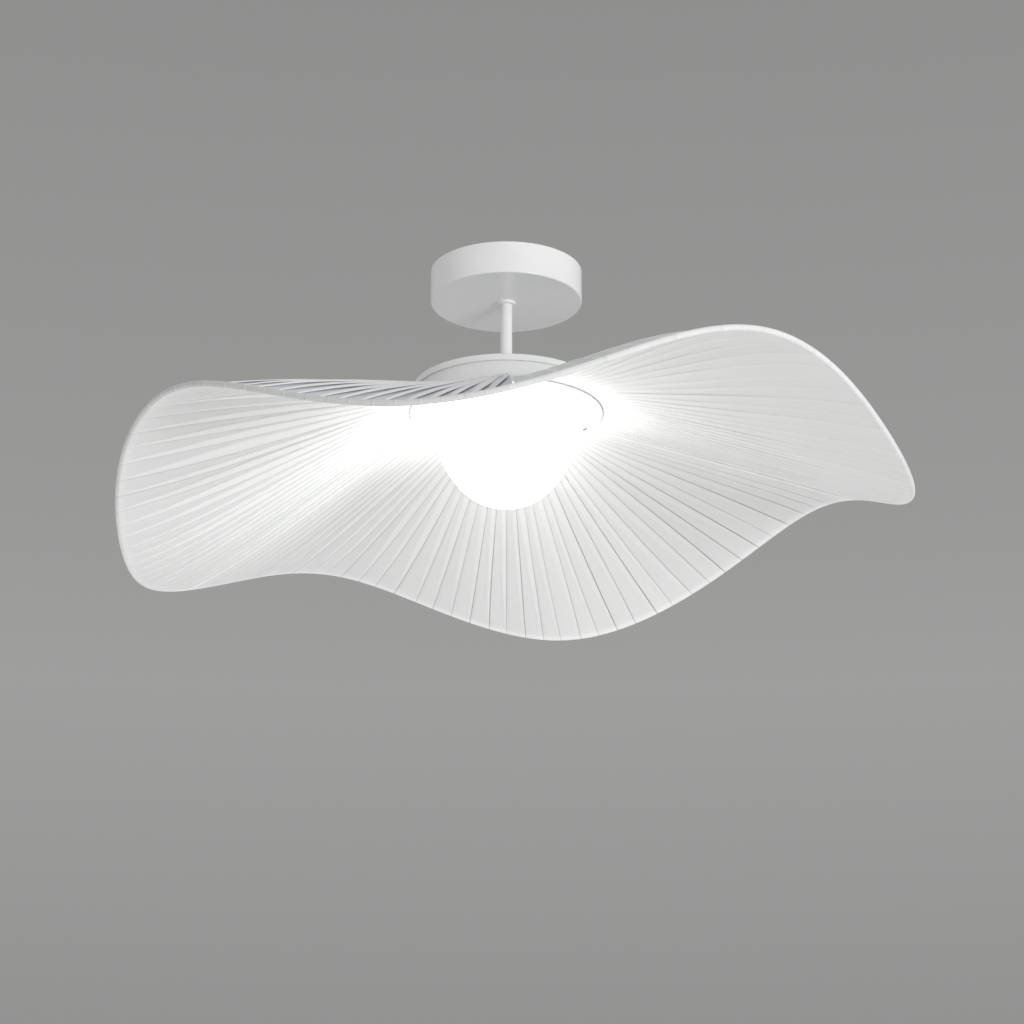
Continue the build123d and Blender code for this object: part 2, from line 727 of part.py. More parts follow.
# Driver on a soft pad on the canopy's floor
driver_floor = canopy_floor + driver_pad_thickness
with BuildPart() as driver_pad:
    with BuildSketch(Plane.XY.offset(canopy_floor)):
        with Locations((0, driver_offset)):
            RectangleRounded(driver_length, driver_width, driver_edge_radius)
    extrude(amount=driver_pad_thickness)
save(driver_pad.part, "driver_pad")

with BuildPart() as led_driver:
    with BuildSketch(Plane.XY.offset(driver_floor)):
        with Locations((0, driver_offset)):
            RectangleRounded(driver_length, driver_width, driver_edge_radius)
    extrude(amount=driver_height)
    fillet(led_driver.faces().sort_by(Axis.Z)[-1].edges(), driver_edge_radius / 2)
save(led_driver.part, "led_driver")

# Three-pole terminal block under the bracket, with holes for wires along Y and for screws from below
terminal_floor = -bracket_thickness - terminal_height
wire_height = -bracket_thickness - terminal_hole_drop
poles = [terminal_offset + step * terminal_pitch for step in (-1, 0, 1)]
terminal_screw_places = [(pole, side * terminal_screw_inset) for pole in poles for side in (-1, 1)]
terminal_screw_tip = wire_height - lead_diameter / 2 - thread_clearance
block_screw_seat = terminal_floor + block_screw_head_depth
with BuildPart() as terminal_block:
    with BuildSketch(Plane.XY.offset(terminal_floor)):
        with Locations((terminal_offset, 0)):
            Rectangle(terminal_length, terminal_width)
    extrude(amount=terminal_height)
    with BuildSketch(Plane.XZ.offset(-terminal_width / 2)):
        with Locations([(pole, wire_height) for pole in poles]):
            Circle(terminal_hole / 2)
    extrude(amount=terminal_width, mode=Mode.SUBTRACT)
    with BuildSketch(Plane.XY.offset(terminal_floor)):
        with Locations(terminal_screw_places):
            Circle(terminal_screw_diameter / 2 + thread_clearance)
    extrude(amount=wire_height - terminal_floor, mode=Mode.SUBTRACT)
    with BuildSketch(Plane.XY.offset(terminal_floor)):
        with Locations((block_screw_offset, 0)):
            Circle(block_screw_diameter / 2 + thread_clearance)
    extrude(amount=terminal_height, mode=Mode.SUBTRACT)
    with BuildSketch(Plane.XY.offset(terminal_floor)):
        with Locations((block_screw_offset, 0)):
            Circle(block_screw_diameter * head_ratio / 2 + lug_clearance)
    extrude(amount=block_screw_head_depth, mode=Mode.SUBTRACT)
save(terminal_block.part, "terminal_block")

with BuildPart() as terminal_block_screw:
    with Locations((block_screw_offset, 0, 0)):
        screw(block_screw_diameter, block_screw_seat, block_screw_reach, upwards=True)
save(terminal_block_screw.part, "terminal_block_screw")

# Clamping screws: headless, flush with the block, each one down on its wire
slot_depth = terminal_screw_diameter / 4
with BuildPart() as terminal_screws:
    with BuildSketch(Plane.XY.offset(terminal_floor)):
        with Locations(terminal_screw_places):
            Circle(terminal_screw_diameter / 2)
    extrude(amount=terminal_screw_tip - terminal_floor)
    with BuildSketch(Plane.XY.offset(terminal_floor)):
        with Locations(terminal_screw_places):
            Rectangle(terminal_screw_diameter, slot_depth)
    extrude(amount=slot_depth, mode=Mode.SUBTRACT)
save(terminal_screws.part, "terminal_screws")

# Earth lug: a ring under the bracket with a tail and a crimped barrel towards -Y
barrel_bore_radius = lead_diameter / 2 + thread_clearance
barrel_height = -bracket_thickness - lug_sheet - barrel_bore_radius
barrel_start = lug_barrel_length - lug_tail
with BuildPart() as earth_lug:
    with BuildSketch(Plane.XY.offset(-bracket_thickness - lug_sheet)):
        with Locations((earth_offset, 0)):
            Circle(lug_ring_diameter / 2)
        with Locations((earth_offset, -lug_tail / 2)):
            Rectangle(lug_tail_width, lug_tail)
        with Locations((earth_offset, 0)):
            Circle(earth_screw_diameter / 2 + thread_clearance, mode=Mode.SUBTRACT)
    extrude(amount=lug_sheet)
    with BuildSketch(Plane.XZ.offset(-barrel_start)):
        with Locations((earth_offset, barrel_height)):
            Circle(barrel_bore_radius + lug_barrel_wall)
    extrude(amount=lug_barrel_length)
    with BuildSketch(Plane.XZ.offset(-barrel_start)):
        with Locations((earth_offset, barrel_height)):
            Circle(barrel_bore_radius)
    extrude(amount=lug_barrel_length, mode=Mode.SUBTRACT)
save(earth_lug.part, "earth_lug")

with BuildPart() as earth_screw:
    with Locations((earth_offset, 0, 0)):
        screw(earth_screw_diameter, -bracket_thickness - lug_sheet, earth_screw_reach, upwards=True)
save(earth_screw.part, "earth_screw")

# Leads: two from the terminal block to the driver, one to the earth lug, and a pair from the driver
# down through the rod to the light board's connector
lead_level = driver_floor + lead_height_in_driver
driver_end = driver_length / 2
wire_end = terminal_width / 2 - lead_insertion
connector_level = board_bottom - connector_height / 2
half_spacing = lead_spacing / 2
lead_routes = {
    "lead_live": [
        (poles[1], wire_end, wire_height),
        (poles[1], 16.5, wire_height),
        (-46, 16.5, -9.5),
        (-57, 24, -13),
        (-53, 36, lead_level),
        (-driver_end, 36, lead_level),
    ],
    "lead_neutral": [
        (poles[0], wire_end, wire_height),
        (poles[0], 13, wire_height),
        (-45, 13, -12),
        (-51, 20, -17),
        (-47.5, 28, lead_level),
        (-driver_end, 28, lead_level),
    ],
    "lead_earth": [
        (poles[2], -wire_end, wire_height),
        (poles[2], -15, wire_height),
        (4, -19, -7.5),
        (16, -22, -5),
        (earth_offset, -19, barrel_height),
        (earth_offset, barrel_start - 1, barrel_height),
    ],
    "led_lead_positive": [
        (driver_end, 36, lead_level),
        (50, 36, lead_level),
        (54, 24, -14.5),
        (42, 16.5, -12),
        (18, 8, -12),
        (0, half_spacing, -12),
        (0, half_spacing, connector_level),
        (connector_start, half_spacing, connector_level),
    ],
    "led_lead_negative": [
        (driver_end, 29, lead_level),
        (46, 29, lead_level),
        (48, 20, -16),
        (37, 10.5, -12),
        (18, 4, -12),
        (0, -half_spacing, -12),
        (0, -half_spacing, connector_level),
        (connector_start, -half_spacing, connector_level),
    ],
}
for name, points in lead_routes.items():
    radii = corner_radii(points)
    with BuildPart() as lead:
        with BuildLine() as route:
            FilletPolyline(*points, radius=radii)
        with BuildSketch(Plane(origin=route.line @ 0, z_dir=route.line % 0)):
            Circle(lead_diameter / 2)
        sweep(path=route.wire())
    print(name, "length", round(route.wire().length), "radii", [round(radius, 1) for radius in radii])
    save(lead.part, name)
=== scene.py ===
import json
import math

import bpy
import numpy as np
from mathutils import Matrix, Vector


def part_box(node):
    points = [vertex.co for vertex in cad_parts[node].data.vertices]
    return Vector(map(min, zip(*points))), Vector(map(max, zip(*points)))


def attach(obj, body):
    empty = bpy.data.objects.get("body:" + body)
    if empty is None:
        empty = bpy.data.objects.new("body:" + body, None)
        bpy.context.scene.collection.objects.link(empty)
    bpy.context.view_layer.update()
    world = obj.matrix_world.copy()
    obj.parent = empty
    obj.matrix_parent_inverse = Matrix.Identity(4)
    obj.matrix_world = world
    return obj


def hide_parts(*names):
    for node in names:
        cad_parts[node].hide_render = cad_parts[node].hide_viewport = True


# Looks of a ceiling light: white painted canopy, rod and lamp body, a glowing opal bowl and a wide
# shade of knife-pleated fabric. Metres, +Z up, the ceiling plane is z = 0. Azimuths are degrees from
# +X towards +Y; the photographed side faces -Y.

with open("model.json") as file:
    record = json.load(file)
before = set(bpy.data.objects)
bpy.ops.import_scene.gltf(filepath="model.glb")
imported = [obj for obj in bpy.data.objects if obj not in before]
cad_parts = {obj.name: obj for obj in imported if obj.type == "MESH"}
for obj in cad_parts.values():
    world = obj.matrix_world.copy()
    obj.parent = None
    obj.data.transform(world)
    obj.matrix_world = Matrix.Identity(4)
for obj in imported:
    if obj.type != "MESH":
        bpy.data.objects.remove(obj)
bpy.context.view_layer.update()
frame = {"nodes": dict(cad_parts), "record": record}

MM = 0.001

# Camera, fitted to the photograph: place in metres, pitch in degrees, lens and sensor in millimetres
CAMERA_PLACE = (0.00577, -2.5944, -1.1658)
CAMERA_PITCH = 19.3
CAMERA_LENS = 98.02
CAMERA_SENSOR = 36.0

# Azimuths of the seams over the spokes, and each panel's first seam, last seam and number of pleats
SEAM_AZIMUTHS = {"front": -89.0, "right": 27.0, "left": 150.0}
PANELS = {
    "front": ("front", "right", 39),
    "right": ("right", "left", 41),
    "left": ("left", "front", 40),
}

# The fabric leaves the hub rings at SLOPE_START and wraps the rim wire and its binding at HEM_RADIUS.
# The weave is laid out on the cloth: its length from hub to rim, and the rim's length per degree.
SLOPE_START = 97.0 * MM
SHEET_THICKNESS = 0.25 * MM
HEM_RADIUS = 2.85 * MM
BINDING_RADIUS = 2.15 * MM
HUB_TO_RIM_CLOTH = 0.32
RIM_CLOTH_PER_DEGREE = 0.007
SEED = 7

# How far a pleat stands above the straight line from hub to rim, two thirds of the way out, where
# share**2 * (1 - share) has its peak of 4/27: azimuth, millimetres. The table is smoothed to its
# first BOW_TERMS Fourier terms.
BOW_TABLE = (
    (-180, -9.0),
    (-165, -5.0),
    (-150, 1.5),
    (-135, 6.0),
    (-120, 6.0),
    (-105, 4.5),
    (-89, 4.0),
    (-75, 8.0),
    (-62, 13.0),
    (-50, 11.0),
    (-40, 5.5),
    (-28, 1.0),
    (-15, 0.0),
    (0, 0.0),
    (27, 1.2),
    (60, 0.5),
    (90, 0.0),
    (120, -3.5),
    (150, -7.8),
    (165, -9.0),
)
BOW_SCALE = 27 / 4
BOW_TERMS = 12
BOW_STEP = 0.5

# Fourier terms of the rim wire's radius and height over azimuth
RIM_TERMS = 20

# Steps for directions taken from two near points: degrees, and shares of the way from hub to rim
SMALL_TURN = 0.01
SMALL_SHARE = 0.01

# Edges that turn by more than this many degrees are shaded sharp
SHARP_ANGLE = 35.0


def mesh_vertices(node):
    mesh = frame["nodes"][node].data
    points = np.empty(len(mesh.vertices) * 3)
    mesh.vertices.foreach_get("co", points)
    return points.reshape(-1, 3)


def harmonics(azimuth):
    # Columns 1, cos, sin, cos 2, sin 2 and so on, of an array of azimuths in degrees
    turn = np.radians(np.asarray(azimuth, dtype=float))
    columns = [np.ones_like(turn)]
    for order in range(1, RIM_TERMS + 1):
        columns.append(np.cos(order * turn))
        columns.append(np.sin(order * turn))
    return np.stack(columns, axis=-1)


# The rim wire's centre line, read from its node as a smooth closed curve over azimuth
wire_points = mesh_vertices("shade_rim_wire")
wire_azimuths = np.degrees(np.arctan2(wire_points[:, 1], wire_points[:, 0]))
wire_radii = np.hypot(wire_points[:, 0], wire_points[:, 1])
wire_columns = harmonics(wire_azimuths)
RADIUS_TERMS = np.linalg.lstsq(wire_columns, wire_radii, rcond=None)[0]
HEIGHT_TERMS = np.linalg.lstsq(wire_columns, wire_points[:, 2], rcond=None)[0]
SHADE_PLANE = (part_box("shade_hub_ring")[0][2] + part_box("fabric_clamp_ring")[1][2]) / 2


def rim_radius(azimuth):
    return harmonics(azimuth) @ RADIUS_TERMS


def rim_height(azimuth):
    return harmonics(azimuth) @ HEIGHT_TERMS


def smooth_step(value):
    value = np.clip(value, 0, 1)
    return value * value * (3 - 2 * value)


bow_azimuths = np.arange(-180, 180, BOW_STEP)
bow_terms = np.fft.rfft(np.interp(bow_azimuths, *np.transpose(BOW_TABLE), period=360))
bow_terms[BOW_TERMS:] = 0
BOW_CURVE = np.fft.irfft(bow_terms, len(bow_azimuths)) * MM


def bow_at(azimuth):
    return np.interp(azimuth, bow_azimuths, BOW_CURVE, period=360)


def shade_point(azimuth, share):
    # Middle surface of the shade: share 0 at the hub ring's edge, 1 at the wire; below 0 it is flat
    reach = rim_radius(azimuth) - SLOPE_START
    radius = SLOPE_START + reach * share
    slope = np.maximum(share, 0)
    height = SHADE_PLANE + (rim_height(azimuth) - SHADE_PLANE) * slope
    height = height + BOW_SCALE * slope**2 * (1 - slope) * bow_at(azimuth)
    turn = np.radians(azimuth)
    return np.stack([radius * np.cos(turn), radius * np.sin(turn), height], axis=-1)


def shade_normal(azimuth, share):
    # Upward unit normal of the middle surface
    across = shade_point(azimuth + SMALL_TURN, share) - shade_point(azimuth - SMALL_TURN, share)
    along = shade_point(azimuth, share + SMALL_SHARE) - shade_point(azimuth, share - SMALL_SHARE)
    normal = np.cross(along, across)
    normal *= np.sign(normal[..., 2:3])
    return normal / np.linalg.norm(normal, axis=-1, keepdims=True)


def finish_mesh(name, vertices, faces, body):
    mesh = bpy.data.meshes.new(name)
    mesh.from_pydata(vertices, [], faces)
    mesh.update()
    mesh.shade_smooth()
    mesh.set_sharp_from_angle(angle=math.radians(SHARP_ANGLE))
    piece = bpy.data.objects.new(name, mesh)
    bpy.context.scene.collection.objects.link(piece)
    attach(piece, body)
    return piece


def grid_faces(rows, columns, closed_rows=False, closed_columns=False):
    faces = []
    for row in range(rows if closed_rows else rows - 1):
        after = (row + 1) % rows
        for column in range(columns if closed_columns else columns - 1):
            beside = (column + 1) % columns
            corners = ((row, column), (row, beside), (after, beside), (after, column))
            faces.append(tuple(line * columns + place for line, place in corners))
    return faces


def store(mesh, name, kind, values):
    attribute = mesh.attributes.new(name, kind, "POINT")
    key = "vector" if kind == "FLOAT_VECTOR" else "value"
    attribute.data.foreach_set(key, np.asarray(values, dtype=np.float32).ravel())


# Materials: every finish is made of noise and waves, so each surface has its own slow drift and grain
TINT_START = 0.35
TINT_END = 0.65
BRUSH_STRETCH = (40.0, 900.0, 900.0)
THREAD_SCALE = 900.0
SLUB_SCALE = 160.0
SLUB_TONE = 0.02

# Share of the light that passes through fabric lying single and double
SINGLE_THROUGH = 0.12
DOUBLE_THROUGH = 0.08


def new_material(name):
    material = bpy.data.materials.new(name)
    material.use_nodes = True
    nodes = material.node_tree.nodes
    return material, nodes, material.node_tree.links, nodes["Principled BSDF"]


def add_noise(nodes, links, vector, scale, detail=3.0):
    noise = nodes.new("ShaderNodeTexNoise")
    noise.inputs["Scale"].default_value = scale
    noise.inputs["Detail"].default_value = detail
    noise.inputs["Roughness"].default_value = 0.55
    links.new(vector, noise.inputs["Vector"])
    return noise.outputs["Fac"]


def tinted(nodes, links, factor, low, high):
    ramp = nodes.new("ShaderNodeValToRGB")
    ramp.color_ramp.elements[0].position = TINT_START
    ramp.color_ramp.elements[0].color = (*low, 1)
    ramp.color_ramp.elements[1].position = TINT_END
    ramp.color_ramp.elements[1].color = (*high, 1)
    links.new(factor, ramp.inputs["Fac"])
    return ramp.outputs["Color"]


def ranged(nodes, links, factor, low, high):
    spread = nodes.new("ShaderNodeMapRange")
    spread.inputs["To Min"].default_value = low
    spread.inputs["To Max"].default_value = high
    links.new(factor, spread.inputs["Value"])
    return spread.outputs["Result"]


def combined(nodes, links, operation, first, second):
    result = nodes.new("ShaderNodeMath")
    result.operation = operation
    links.new(first, result.inputs[0])
    links.new(second, result.inputs[1])
    return result.outputs["Value"]


def attribute(nodes, name, output):
    reader = nodes.new("ShaderNodeAttribute")
    reader.attribute_name = name
    return reader.outputs[output]


def add_bump(nodes, links, height, target, strength, distance):
    bump = nodes.new("ShaderNodeBump")
    bump.inputs["Strength"].default_value = strength
    bump.inputs["Distance"].default_value = distance
    links.new(height, bump.inputs["Height"])
    links.new(bump.outputs["Normal"], target.inputs["Normal"])


def surface(
    name, low, high, roughness, patch=14.0, grain=900.0, grain_depth=0.02 * MM, **sockets
):
    # A solid finish: slow colour drift, a fine grain in bump, and roughness that varies a little
    material, nodes, links, shader = new_material(name)
    place = nodes.new("ShaderNodeTexCoord").outputs["Object"]
    slow = add_noise(nodes, links, place, patch)
    fine = add_noise(nodes, links, place, grain, detail=2.0)
    links.new(tinted(nodes, links, slow, low, high), shader.inputs["Base Color"])
    rough = ranged(nodes, links, slow, roughness * 0.9, roughness * 1.1)
    links.new(rough, shader.inputs["Roughness"])
    add_bump(nodes, links, fine, shader, 0.6, grain_depth)
    for socket, value in sockets.items():
        shader.inputs[socket.replace("_", " ")].default_value = value
    return material


def brushed(name, low, high, roughness):
    # Bare metal with streaks along X
    material, nodes, links, shader = new_material(name)
    place = nodes.new("ShaderNodeTexCoord").outputs["Object"]
    squeeze = nodes.new("ShaderNodeMapping")
    squeeze.inputs["Scale"].default_value = BRUSH_STRETCH
    links.new(place, squeeze.inputs["Vector"])
    streaks = add_noise(nodes, links, squeeze.outputs["Vector"], 1.0)
    links.new(tinted(nodes, links, streaks, low, high), shader.inputs["Base Color"])
    rough = ranged(nodes, links, streaks, roughness * 0.8, roughness * 1.2)
    links.new(rough, shader.inputs["Roughness"])
    shader.inputs["Metallic"].default_value = 1.0
    add_bump(nodes, links, streaks, shader, 0.3, 0.01 * MM)
    return material


def fabric_material(name, flat_colour, layered_painted_light_colour, mark):
    # Woven polyester: fine threads along and across the pleats, painted whiter where the marked parts
    # lie in layers, standing in for the light that layered cloth sends back, and light through it,
    # more where it lies single
    material, nodes, links, shader = new_material(name)
    cloth = attribute(nodes, "cloth", "Vector")
    layered = attribute(nodes, mark, "Fac")
    threads = []
    for direction in ("X", "Y"):
        wave = nodes.new("ShaderNodeTexWave")
        wave.bands_direction = direction
        wave.inputs["Scale"].default_value = THREAD_SCALE
        wave.inputs["Distortion"].default_value = 0.4
        links.new(cloth, wave.inputs["Vector"])
        threads.append(wave.outputs["Fac"])
    weave = combined(nodes, links, "MULTIPLY", *threads)
    slub = add_noise(nodes, links, cloth, SLUB_SCALE, detail=4.0)
    drift = ranged(nodes, links, slub, -SLUB_TONE, SLUB_TONE)
    # The grey: slub drift added to the tone attribute, each strip's own tone with the painted light
    # and shade laid on along the panels
    grey = combined(nodes, links, "ADD", drift, attribute(nodes, "tone_and_painted_light", "Fac"))
    mix = nodes.new("ShaderNodeMix")
    mix.data_type = "RGBA"
    mix.inputs["A"].default_value = (*flat_colour, 1)
    mix.inputs["B"].default_value = (*layered_painted_light_colour, 1)
    links.new(layered, mix.inputs["Factor"])
    shade = nodes.new("ShaderNodeMix")
    shade.data_type = "RGBA"
    shade.blend_type = "MULTIPLY"
    shade.inputs["Factor"].default_value = 1.0
    links.new(mix.outputs["Result"], shade.inputs["A"])
    links.new(grey, shade.inputs["B"])
    links.new(shade.outputs["Result"], shader.inputs["Base Color"])
    shader.inputs["Roughness"].default_value = 0.85
    shader.inputs["Sheen Weight"].default_value = 0.15
    shader.inputs["Specular IOR Level"].default_value = 0.25
    add_bump(nodes, links, weave, shader, 0.25, 0.06 * MM)
    through = nodes.new("ShaderNodeBsdfTranslucent")
    links.new(shade.outputs["Result"], through.inputs["Color"])
    blend = nodes.new("ShaderNodeMixShader")
    passed = ranged(nodes, links, layered, SINGLE_THROUGH, DOUBLE_THROUGH)
    links.new(passed, blend.inputs["Fac"])
    links.new(shader.outputs["BSDF"], blend.inputs[1])
    links.new(through.outputs["BSDF"], blend.inputs[2])
    links.new(blend.outputs["Shader"], nodes["Material Output"].inputs["Surface"])
    return material


PAINT = surface("white_paint", (0.80, 0.81, 0.80), (0.84, 0.845, 0.84), 0.22)
# Below, doubled cloth is painted slightly whiter; the top side is painted darker and bluer than below,
# painted shade, and whiter on its raised layers, painted light
FABRIC_UNDER = fabric_material("fabric_under", (0.80, 0.805, 0.80), (0.825, 0.83, 0.825), "lay")
FABRIC_TOP_PAINTED_LIGHT = fabric_material("fabric_top_painted_light", (0.75, 0.765, 0.79), (0.86, 0.86, 0.87), "fold")
OPAL = surface(
    "opal_bowl",
    (0.92, 0.92, 0.90),
    (0.95, 0.95, 0.94),
    0.3,
    Emission_Color=(1.0, 0.99, 0.97, 1.0),
    Emission_Strength=4.7,
)
ZINC = brushed("zinc_steel", (0.55, 0.55, 0.54), (0.68, 0.68, 0.66), 0.35)
BRASS = brushed("tinned_brass", (0.66, 0.63, 0.52), (0.74, 0.72, 0.62), 0.3)
PLASTIC = surface("white_plastic", (0.82, 0.82, 0.79), (0.86, 0.86, 0.83), 0.5, grain=1500.0)
BOARD = surface("board_white", (0.84, 0.85, 0.83), (0.90, 0.90, 0.88), 0.3, grain=2500.0)
CHIP = surface("chip_yellow", (0.78, 0.62, 0.18), (0.86, 0.74, 0.30), 0.25, patch=900.0)
FOAM = surface(
    "grey_foam", (0.28, 0.28, 0.29), (0.38, 0.38, 0.39), 0.95, patch=800.0, grain_depth=0.1 * MM
)
SLEEVES = {
    "brown_sleeve": ((0.24, 0.12, 0.06), (0.30, 0.15, 0.08)),
    "blue_sleeve": ((0.06, 0.20, 0.50), (0.10, 0.28, 0.60)),
    "green_sleeve": ((0.22, 0.46, 0.10), (0.60, 0.60, 0.10)),
    "red_sleeve": ((0.52, 0.05, 0.04), (0.64, 0.08, 0.06)),
    "black_sleeve": ((0.02, 0.02, 0.02), (0.04, 0.04, 0.04)),
}
SLOT_MATERIALS = {
    "white_paint": PAINT,
    "white_fabric": FABRIC_UNDER,
    "opal": OPAL,
    "zinc_steel": ZINC,
    "white_plastic": PLASTIC,
    "board_white": BOARD,
    "chip_yellow": CHIP,
    "grey_foam": FOAM,
    "tinned_brass": BRASS,
}
for sleeve, (low, high) in SLEEVES.items():
    SLOT_MATERIALS[sleeve] = surface(sleeve, low, high, 0.35, patch=120.0, grain=2000.0)

for part in frame["record"]["subparts"]:
    node = frame["nodes"][part["node"]]
    node.data.materials.clear()
    node.data.materials.append(SLOT_MATERIALS[part["material_slot"]])

# Fabric panels: one continuous sheet each, folded in a Z at every seam and wrapped round the rim wire.
# Seen from below, a strip ends in a groove beside the next strip's lip; seen from above, its edge lies
# over the next strip, wide at the hub and running out to a point at the rim.

# Shares of the way from hub to rim where a strip has its points, and the wrap's turns round the wire
STATIONS = np.concatenate(
    [[-0.0267, -0.0133, 0.0], np.linspace(0.02, 0.92, 30), [0.94, 0.96, 0.975, 0.99, 1.0]]
)
ENDS = np.clip(STATIONS, 0, 1)
FIRST_SLOPE = 0.02
WRAP_TURNS = np.radians((-67, -45, -22, 0, 22, 45, 67, 90, 115, 140))

# Across a strip, in pitches: its overlap on the next strip at the hub, the fold's tip, the lip, half
# of the step where the doubled part ends, and the overlap at which that step has its full height
LARGEST_OVERLAP = 0.78
FOLD_TIP = 0.015
LIP = 0.03
CREASE_HALF = 0.03
CREASE_FULL = 0.2
LIP_DROP = 0.3
DOUBLE_PARTS = (0.4, 0.75, 1.0)
SINGLE_PARTS = (0.0, 0.33, 0.67, 1.0)
# The groove's knee: share of the groove's width before the seam, height in gaps, share of double cloth
KNEE = (0.45, 1.1, 0.3)
# Layers that lie over the next strip: share of the overlap, fold tips, height in gaps, raised share
FOLD_LAYERS = (
    (0.0, 0, 2.0, 1.0),
    (0.5, 0, 2.6, 1.0),
    (1.0, 0, 2.1, 1.0),
    (1.0, 1, 1.55, 1.0),
    (1.0, 0, 1.0, 0.5),
    (0.5, 0, 1.0, 0.3),
    (0.0, 0, 1.0, 0.2),
    (0.0, -1, 0.5, 0.1),
)
# A strip's columns start with the lip's and reach the groove's knee. Those between show RIM_LAY of
# double cloth at the rim, where overlaps under CLOSED_OVERLAP count as closed. A panel's last strip
# ends before the groove, at its seam.
LIP_COLUMNS = 2
KNEE_COLUMN = 9
RIM_LAY = 0.3
CLOSED_OVERLAP = 0.04
LAST_SEAM_HEIGHT = 0.2 * MM

# Sleeve over each spoke: half width, its widest in pitches, profile as shares of half width and drop
SLEEVE_HALF = 3.0 * MM
LARGEST_SLEEVE = 0.3
SLEEVE_PROFILE = ((-1.0, 0.0), (-0.8, 0.6), (-0.35, 1.0), (0.35, 1.0), (0.8, 0.6))
SLEEVE_DROPS = {"right": 1.7 * MM, "left": 0.4 * MM, "front": 0.5 * MM}
# The sleeve's cloth is painted lighter, a painted highlight along each seam over a spoke
SLEEVE_PAINTED_HIGHLIGHT = 1.10

# Gap between folded layers, width of the groove and the painted shade in it as a tone, how far a strip
# hangs between its seams, how fast its overlap widens from the rim, the share of all this left at the
# rim, and the step where the doubled part ends. Gap and hang in millimetres.
PANEL_LOOKS = {
    "right": dict(gap=0.55, rise=0.09, groove_painted_shade=0.68, hang=0.20, leaf=1.3, outer=1.0, crease=0.3),
    "left": dict(gap=0.60, rise=0.16, groove_painted_shade=0.93, hang=1.60, leaf=3.0, outer=1.0, crease=1.0),
    "front": dict(gap=0.26, rise=0.30, groove_painted_shade=0.96, hang=0.30, leaf=0.8, outer=0.2, crease=0.3),
}

# How the layers, the hang, the sleeve and the outer part open and close, in shares of the way from hub
# to rim, and how far the layers sink between the hub rings, in gaps
HUB_GAP = 0.5
HUB_GAP_REACH = 0.25
RIM_GAP = 0.25
RIM_GAP_REACH = 0.05
HANG_OPENS = 0.3
HANG_CLOSES = 0.15
SLEEVE_CLOSES = 0.1
OUTER_START = 0.9
OUTER_REACH = 0.5
HUB_SINK = 1.1
HUB_SINK_REACH = 0.06

# Spread from strip to strip: the seams' stray at hub, rim and between in pitches, tone, depth, overlap
SEAM_STRAYS = (0.035, 0.07, 0.063)
TONE_SPREAD = 0.010
DEPTH_SPREAD = 0.30
OVERLAP_SPREAD = 0.14

# Painted light and shade that change round the shade: a painted highlight on the rim's edge, painted
# light and shade that make double cloth whiter and single cloth greyer in the low lobe, and painted
# shade that greys the hem between its stitched wraps, where it faces away from the lamps; each with
# the azimuth it is strongest at and the degrees from there to half of it
EDGE_PAINTED_HIGHLIGHT = 0.13
EDGE_HIGHLIGHT_REACH = (80.0, 68.0)
EDGE_STATIONS = 2
LOBE_PAINTED_LIGHT = 0.10
LOBE_LIGHT_REACH = (165.0, 50.0)
HEM_PAINTED_SHADE = 0.18
HEM_SHADE_REACH = (-130.0, 34.0)

# Points round the binding, and along it
HEM_SIDES = 16
HEM_STEPS = 720
RIM_LENGTH_STEPS = 200


def turned_to(azimuth, centre, half):
    level = math.cos(math.radians(half))
    return smooth_step(0.5 + 0.5 * (math.cos(math.radians(azimuth - centre)) - level) / (1 - level))


def strip_columns(look, overlap, gap, hang):
    # Cross-section of one strip as (u, height, fold, lay, tone): u in pitches, fold 1 on the raised
    # layers, lay 1 where the fabric lies double, and tone below 1 at the groove, where it is painted
    # shade. Every value is given per station along the strip.
    one = np.ones_like(overlap)
    flat = 1 - look["rise"]
    inner = np.maximum(overlap - CREASE_HALF, 2 * LIP)
    outer = np.minimum(np.maximum(overlap + CREASE_HALF, 4 * LIP), flat - LIP)
    step = look["crease"] * gap * np.minimum(overlap / CREASE_FULL, 1)

    def hanging(u):
        return -hang * np.sin(np.pi * np.clip(u / flat, 0, 1))

    columns = [(0 * one, 0 * one, 0, 1, 1), (LIP * one, hanging(LIP) - LIP_DROP * gap, 0, 1, 1)]
    for part in DOUBLE_PARTS:
        u = LIP + (inner - LIP) * part
        columns.append((u, hanging(u) - LIP_DROP * gap, 0, 1, 1))
    for part in SINGLE_PARTS:
        u = outer + (flat - outer) * part
        columns.append((u, hanging(u) + step * (1 - part) ** 2, 0, 0, 1))
    before_seam, knee_height, knee_lay = KNEE
    knee = (1 - look["rise"] * before_seam) * one
    # The knee and the first layer over it carry the groove's painted shade as their tone
    columns.append((knee, knee_height * gap, 0, knee_lay, look["groove_painted_shade"]))
    for order, (share, tips, height, fold) in enumerate(FOLD_LAYERS):
        u = 1 + overlap * share + FOLD_TIP * tips
        columns.append((u, height * gap, fold, 1, look["groove_painted_shade"] if order == 0 else 1))
    return columns


def sleeve_columns(columns, arc, deepest):
    # The first strip of a panel starts with the sleeve under its spoke
    half = np.minimum(SLEEVE_HALF / arc, LARGEST_SLEEVE)
    sleeve = [(part * half, -drop * deepest, 0, 1, SLEEVE_PAINTED_HIGHLIGHT) for part, drop in SLEEVE_PROFILE]
    for u, height, fold, lay, tone_and_painted_light in columns:
        sleeve.append((np.where(u < 1, half + u * (1 - half), u), height, fold, lay, tone_and_painted_light))
    return sleeve


